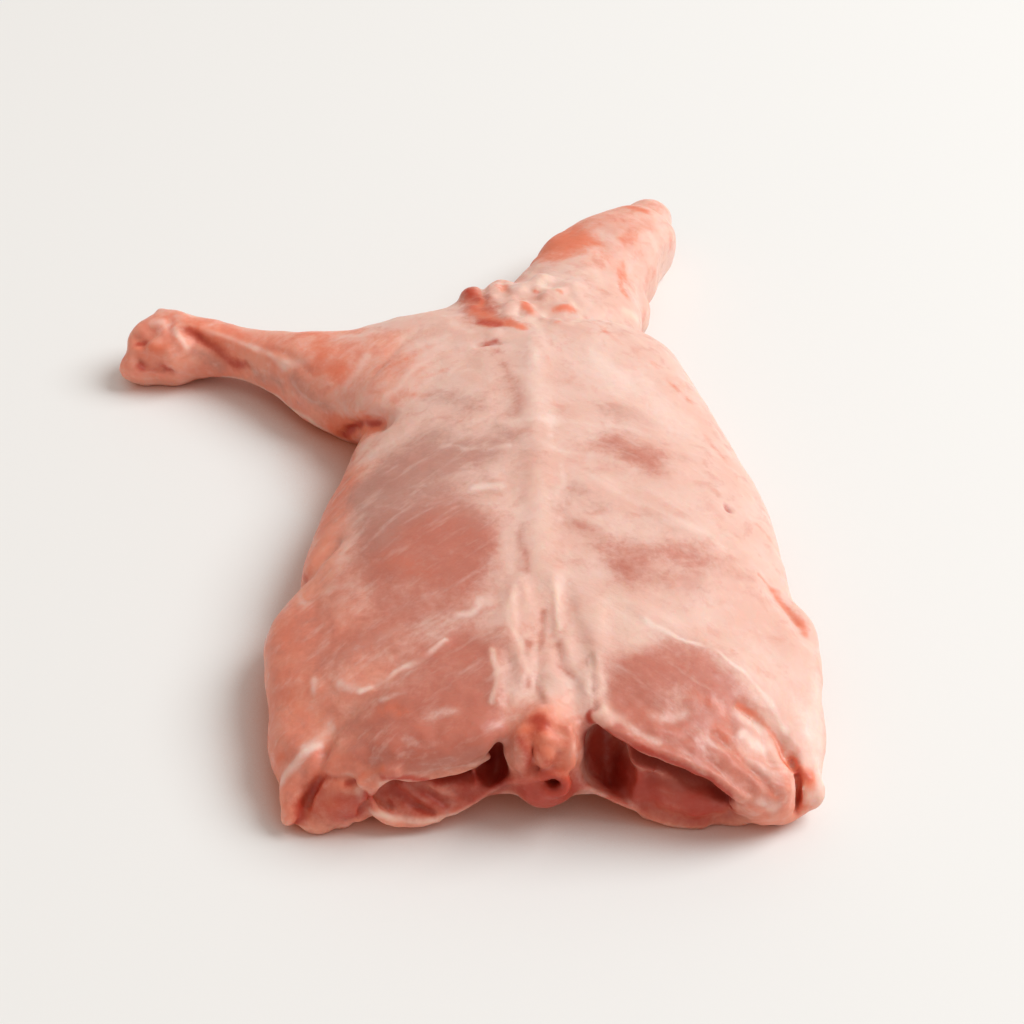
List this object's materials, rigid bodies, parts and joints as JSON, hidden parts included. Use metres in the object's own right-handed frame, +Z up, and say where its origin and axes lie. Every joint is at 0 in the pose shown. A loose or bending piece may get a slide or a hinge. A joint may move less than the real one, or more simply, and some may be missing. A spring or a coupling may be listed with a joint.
{
  "type": "kid goat shoulder",
  "caption": "Raw skinned goat forequarter lying back up, with one foreleg out to the side, a neck stub and an open cut end.",
  "frame": {"origin": "middle of the footprint, on the surface the meat lies on", "axes": "+X across the back to the animal's right, +Y along the backbone from the cut end to the neck, +Z up"},
  "size_m": [0.3032, 0.4018, 0.0549],
  "materials": {
    "raw_meat": "moist satin raw meat under a thin pale skin of fat"
  },
  "bodies": {
    "root": {"kid_shoulder": "raw_meat"}
  },
  "joints": []
}
